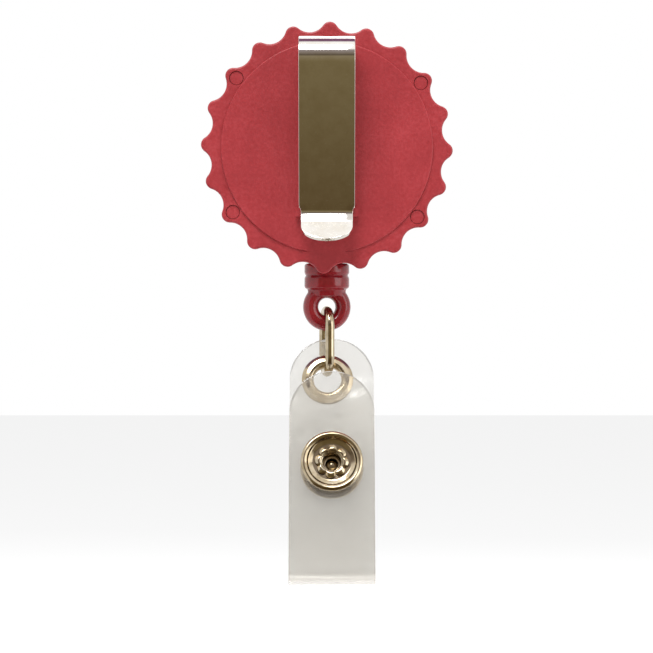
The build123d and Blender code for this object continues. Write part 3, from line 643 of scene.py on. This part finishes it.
round_in = (STRAP_WIDTH / 2) * (1 - np.cos(np.linspace(0.05, math.pi / 2, 30)))
BELOW_ROUND_END = 6.7
rear_ups = np.concatenate([STRAP_TOP - round_in, np.linspace(STRAP_TOP - BELOW_ROUND_END, FOLD_UP, 70)])
fold_turn = np.linspace(math.pi, 2 * math.pi, 26)[1:-1]
fold = np.stack([
    FOLD_RADIUS + FOLD_RADIUS * np.cos(fold_turn),
    FOLD_UP + FOLD_RADIUS * np.sin(fold_turn),
], -1)
flap_ups = np.concatenate([
    np.linspace(FOLD_UP, FLAP_END - BELOW_ROUND_END, 66),
    (FLAP_END - round_in)[::-1],
])
strap_path = np.concatenate([
    np.stack([np.zeros_like(rear_ups), rear_ups], -1),
    fold,
    np.stack([np.full_like(flap_ups, FLAP_OUT), flap_ups], -1),
])
from_rear = STRAP_TOP - strap_path[:, 1]
from_flap = FLAP_END - strap_path[:, 1]
to_end = np.where(strap_path[:, 0] < FOLD_RADIUS, from_rear, from_flap)
short = np.clip(1 - to_end / (STRAP_WIDTH / 2), 0, 1)
strap_half = STRAP_WIDTH / 2 * np.sqrt(np.clip(1 - short**2, 0.0001, 1))


def ripples(x, path):
    """Long, shallow waves of sheet that was folded and pressed: sums of sines a few centimetres
    long, up to 0.08 mm high, that die out towards the snap and the eyelet."""
    height = path[:, 1, None]
    wave = 0.05 * np.sin(0.62 * height + 0.25 * x + 0.6) + 0.035 * np.sin(1.15 * height - 0.33 * x)
    near_snap = np.exp(-((height - SNAP_UP) ** 2 + x**2) / 30.0)
    near_eyelet = np.exp(-(height**2) / 12.0)
    return wave * (1 - near_snap) * (1 - near_eyelet)


strap_origin = origin + np.array([STRAP_OFFSET, 0, 0])
strap_points = strip(strap_path, strap_half, STRAP_THICKNESS, 0.07, side_x, out, up, strap_origin,
                     across=34, lift=ripples)
snap_centre = strap_origin + up * SNAP_UP
eyelet_low, eyelet_high = (np.array(corner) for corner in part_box("strap_eyelet"))
eyelet_middle = (eyelet_low + eyelet_high) / 2 / MM
eyelet_up = float((eyelet_middle - origin) @ up)
eyelet_centre = origin + np.array([eyelet_middle[0], 0, 0]) + up * eyelet_up


strap_mesh = holed("strap", strap_points, out, [
    (eyelet_centre, 2.44, -1.0, 1.0),
    (snap_centre, 1.53, -1.0, 1.0),
    (snap_centre, 1.83, 2.0, 3.5),
], vinyl)
strap = dress("strap", strap_mesh, None, "clear_vinyl", vinyl, "strap_rear", "strap_flap", crease=40)
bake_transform(strap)

# ------------------------------------------------------------------ eyelet and its washer
eyelet = rounded([
    (EYELET_BORE, -0.5, 0.1), (EYELET_TUBE, -0.5, 0.1), (EYELET_TUBE, 0.25, 0),
    (EYELET_BRIM, 0.25, 0.06), (EYELET_BRIM, 0.36, 0.08), (3.35, 0.72, 0.5), (2.75, 0.86, 0.3),
    (2.32, 0.72, 0.3), (EYELET_BORE, 0.2, 0.4),
], steps=8)
make("eyelet", lathe(eyelet, eyelet_centre, out, 128),
     "strap", "snap_nickel", snap_nickel, "strap_eyelet", closed_rows=True)
washer = rounded([
    (2.46, -0.25, 0), (EYELET_BRIM, -0.25, 0.05), (EYELET_BRIM, -0.42, 0.1),
    (3.3, -0.75, 0.4), (2.46, -0.75, 0.15),
], steps=6)
make("washer", lathe(washer, eyelet_centre, out, 128),
     "strap", "snap_nickel", snap_nickel, "eyelet_washer", closed_rows=True)

# ------------------------------------------------------------------ snap
# Heights are measured along the strap's face normal from the middle of its rear layer.
HALF = STRAP_THICKNESS / 2
FLAP_FACE = FLAP_OUT + HALF
FLAP_BACK = FLAP_OUT - HALF
ring_shape = rounded([
    (1.88, FLAP_FACE, 0), (4.1, FLAP_FACE, 0.1), (4.6, FLAP_FACE + 0.35, 0.3),
    (4.68, FLAP_FACE + 0.9, 0.35), (4.2, FLAP_FACE + 1.18, 0.3), (3.75, FLAP_FACE + 0.98, 0.3),
    (3.55, FLAP_FACE + 0.55, 0.35), (2.85, FLAP_FACE + 0.28, 0.5), (1.88, FLAP_FACE + 0.26, 0.05),
], steps=7)
make("dished_ring", lathe(ring_shape, snap_centre, out, 144),
     "flap", "snap_nickel", snap_nickel, "snap_ring", closed_rows=True)


def petals():
    """Tube end split into eight petals and rolled outwards. Going up the tube and over the roll is
    one parameter s, round the tube the other, t. The first quarter of s climbs the tube, then the
    wall rolls over through 0.62 of a half turn, and beyond that a petal runs on outwards. Between
    petals the reach shrinks almost to the tube: lobe = |cos(4t + 0.35)| ^ 0.4."""
    around_t = np.linspace(0, 2 * math.pi, 288, endpoint=False)
    lobe = np.abs(np.cos(4 * around_t + 0.35)) ** 0.4
    s = np.linspace(0, 1, 26)
    _, side, other = around(out)
    ring = np.cos(around_t)[:, None] * side + np.sin(around_t)[:, None] * other
    climb, rolled, wall = 0.25, 0.7, 0.14
    roll = np.clip((s - climb) / (rolled - climb), 0, 1) * math.pi * 0.62
    flat = np.clip((s - rolled) / (1 - rolled), 0, 1)
    base_r = PETAL_TUBE + 0.4 * (1 - np.cos(roll))
    base_h = 0.55 * np.minimum(s / climb, 1) + 0.34 * np.sin(roll)
    r_full = base_r + 0.42 * flat
    h_full = base_h - 0.2 * flat
    share = lobe[None, :]
    radius = PETAL_TUBE + (r_full[:, None] - PETAL_TUBE) * (0.18 + 0.82 * share)
    height = FLAP_FACE + h_full[:, None] * (0.86 + 0.14 * share)
    shell = snap_centre + height[..., None] * out + radius[..., None] * ring[None]
    inner_radius = np.maximum(radius - wall * np.cos(roll)[:, None], 1.3)
    inner_height = height - wall * np.sin(roll)[:, None] - 0.02
    inside = snap_centre + inner_height[..., None] * out + inner_radius[..., None] * ring[None]
    return np.concatenate([shell, inside[::-1]])


make("petalled_tube", petals(), "flap", "snap_nickel", snap_nickel, closed_rows=True, crease=50)
mouth = HALF + 0.6
socket = rounded([
    (1.5, FLAP_BACK + 0.6, 0), (1.5, FLAP_BACK - 0.3, 0.1), (3.0, FLAP_BACK - 0.3, 0.1),
    (3.0, mouth + 0.6, 0.1), (2.0, mouth + 0.6, 0.1), (2.0, mouth + 0.3, 0.05), (2.3, mouth, 0.15),
    (3.0, mouth, 0.2), (3.3, mouth + 0.3, 0.2), (3.3, FLAP_BACK - 0.3, 0.05),
    (3.6, FLAP_BACK - 0.3, 0.05), (3.6, FLAP_BACK, 0.05), (1.8, FLAP_BACK, 0),
    (1.8, FLAP_BACK + 0.6, 0),
], steps=4)
make("socket", lathe(socket, snap_centre, out, 96),
     "flap", "snap_nickel", snap_nickel, "snap_socket", closed_rows=True)

ball_top = FLAP_BACK - 0.42
plate = HALF + 0.3
ball_mid = (plate + ball_top) / 2
stud = rounded([
    (1.2, HALF, 0), (3.6, HALF, 0.05), (3.6, plate, 0.08), (1.5, plate, 0.15), (1.8, ball_mid, 0.5),
    (1.45, ball_top, 0.3), (0.95, ball_top, 0.12), (0.95, ball_mid, 0.1), (1.2, ball_mid - 0.3, 0.05),
], steps=6)
make("stud", lathe(stud, snap_centre, out, 96),
     "strap", "snap_nickel", snap_nickel, "snap_stud", closed_rows=True)
cap = rounded([
    (0, -HALF - 1.2, 0), (3.2, -HALF - 0.95, 2.0), (4.75, -HALF - 0.45, 0.3), (4.72, -HALF, 0.1),
    (1.12, -HALF, 0), (1.12, ball_mid - 0.35, 0), (0.6, ball_mid + 0.2, 0.3), (0, ball_mid + 0.35, 0),
], steps=8)
make("cap", lathe(cap, snap_centre, out, 128), "strap", "snap_nickel", snap_nickel, "snap_cap")

# ------------------------------------------------------------------ cord that is paid out
lead_low, lead_high = (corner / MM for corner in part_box("cord_lead"))
places = np.linspace(lead_high.z, lead_low.z, 30)
lead = neck_centre + places[:, None] * up_z
cord = make("drawn_cord", tube(lead, 0.5, side_x, 20), None, "cord_nylon", nylon, "cord_lead")
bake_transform(cord)

# ------------------------------------------------------------------ studio
low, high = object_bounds()
focus = (low + high) / 2
FLOOR_DROP = 0.09
FLOOR_HALF = 3
# Radius of the glowing sheet that paints reflections into the metal.
REFLECTION_SHEET_RADIUS = 0.9


def staged(name, corners, faces, material):
    """Piece of the studio, which isn't part of the object."""
    mesh = bpy.data.meshes.new(name)
    mesh.from_pydata(corners, [], faces)
    mesh.materials.append(material)
    made = put(name, mesh)
    return made


def pale_floor():
    """White paper sweep: its own white to the camera, and a soft shadow under the object."""
    material, tree, _ = start("white_paper_sweep")
    paper = add(tree, "ShaderNodeBsdfDiffuse", inputs={"Color": linear("#F2F2F2")})
    glow = add(tree, "ShaderNodeEmission", inputs={"Color": (1, 1, 1, 1), "Strength": 0.45})
    both = add(tree, "ShaderNodeAddShader", inputs={
        0: paper.outputs["BSDF"], 1: glow.outputs["Emission"]})
    path = add(tree, "ShaderNodeLightPath")
    shader = add(tree, "ShaderNodeMixShader", inputs={
        0: path.outputs["Is Camera Ray"], 1: paper.outputs["BSDF"], 2: both.outputs["Shader"]})
    finish(tree, shader.outputs["Shader"])
    return material


ground = low.z - FLOOR_DROP
floor_corners = [(x * FLOOR_HALF, y * FLOOR_HALF, ground) for x, y in ((-1, -1), (1, -1), (1, 1), (-1, 1))]
floor = staged("floor", floor_corners, [(0, 1, 2, 3)], pale_floor())
floor.visible_glossy = False


def painted_reflection_sheet():
    """Painted reflections for the polished metal in front of the object: a glowing sheet, not a lamp, coloured in
    bands by height angle. It is dim olive low down, with a paler band about level and a darker band just above it,
    grey higher up, white overhead, and a dusky purple strip far over and behind. The sheet is part of a cylinder
    round the X axis; the colour follows the height angle, which is worked out from Object coordinates as atan2(z,
    -y)."""
    material, tree, place = start("painted_reflections_in_metal")
    split = add(tree, "ShaderNodeSeparateXYZ", inputs={"Vector": place})
    back = add(tree, "ShaderNodeMath", {"operation": "MULTIPLY"}, {0: split.outputs["Y"], 1: -1.0})
    angle = add(tree, "ShaderNodeMath", {"operation": "ARCTAN2"},
                {0: split.outputs["Z"], 1: back.outputs["Value"]})
    lowest, highest = -60, 180
    share = mapped(tree, angle.outputs["Value"], math.radians(lowest), math.radians(highest), 0.0, 1.0)

    def at(degrees):
        return (degrees - lowest) / (highest - lowest)

    # Painted reflection bands: each stop is the colour the metal mirrors at that height angle.
    colour = ramp(tree, share, [
        (at(-60), "#4A3A2C"), (at(-21), "#57482F"), (at(-15), "#74684A"), (at(8), "#857A62"),
        (at(14), "#574D40"), (at(24), "#7C7268"), (at(40), "#938B8C"), (at(47), "#FFFFFF"),
        (at(88), "#FFFFFF"), (at(96), "#74506E"), (at(150), "#8C6A80"), (at(179), "#C8B8C4"),
    ])
    glow = add(tree, "ShaderNodeEmission", inputs={"Color": colour, "Strength": 1.25})
    finish(tree, glow.outputs["Emission"])
    return material


angles = np.radians(np.linspace(-70, 120, 96))
edge = REFLECTION_SHEET_RADIUS * np.stack([-np.cos(angles), np.sin(angles)], -1)
corners = [(x, y, z) for y, z in edge.tolist() for x in (-REFLECTION_SHEET_RADIUS, REFLECTION_SHEET_RADIUS)]
faces = [(2 * row, 2 * row + 1, 2 * row + 3, 2 * row + 2) for row in range(len(angles) - 1)]
screen = staged("painted_reflection_screen", corners, faces, painted_reflection_sheet())
# The sheet shows only in glossy rays: it paints reflections into the metal and lights nothing.
screen.visible_camera = False
screen.visible_diffuse = False
screen.visible_transmission = False
screen.visible_volume_scatter = False
screen.visible_shadow = False

# The white surroundings show at full strength to the camera, in reflections and through the
# vinyl, and light the object at half strength.
world = bpy.data.worlds.new("studio")
bpy.context.scene.world = world
world.use_nodes = True
world.node_tree.nodes.clear()
sight = add(world.node_tree, "ShaderNodeLightPath")
seen_one = add(world.node_tree, "ShaderNodeMath", {"operation": "MAXIMUM"},
               {0: sight.outputs["Is Camera Ray"], 1: sight.outputs["Is Glossy Ray"]})
seen_two = add(world.node_tree, "ShaderNodeMath", {"operation": "MAXIMUM"},
               {0: seen_one.outputs["Value"], 1: sight.outputs["Is Transmission Ray"]})
strength = mapped(world.node_tree, seen_two.outputs["Value"], 0.0, 1.0, 0.5, 1.0)
sky = add(world.node_tree, "ShaderNodeBackground", inputs={"Color": (1, 1, 1, 1), "Strength": strength})
add(world.node_tree, "ShaderNodeOutputWorld", inputs={"Surface": sky.outputs["Background"]})


def lamp(name, place, aim, size, power):
    """Rectangular lamp at a place in metres, turned to its aim; power is in watts."""
    light = bpy.data.lights.new(name, "AREA")
    light.shape = "RECTANGLE"
    light.size, light.size_y = size
    light.energy = power
    holder = put(name, light)
    holder.location = place
    direction = aim - holder.location
    holder.rotation_euler = direction.to_track_quat("-Z", "Y").to_euler()


lamp("key", (-0.12, -0.34, 0.55), focus, (0.35, 0.3), 3.4)
lamp("fill", (0.5, -0.3, 0.1), focus, (0.4, 0.4), 0.8)
lamp("back", (0.1, 0.55, 0.45), focus, (0.5, 0.5), 1.6)

# The camera looks straight at the clip side; the picture is FRAME_WIDTH wide at the rear cover.
CAMERA_DISTANCE = 350.0
FRAME_WIDTH = 98.34
view = bpy.data.cameras.new("camera")
camera = put("camera", view)
camera.location = (-0.00005, -CAMERA_DISTANCE * MM, -0.02699)
camera.rotation_euler = (math.radians(90), 0, 0)
view.sensor_width = 36.0
view.lens = view.sensor_width * CAMERA_DISTANCE / FRAME_WIDTH
bpy.context.scene.camera = camera
bpy.context.scene.view_settings.view_transform = "Standard"
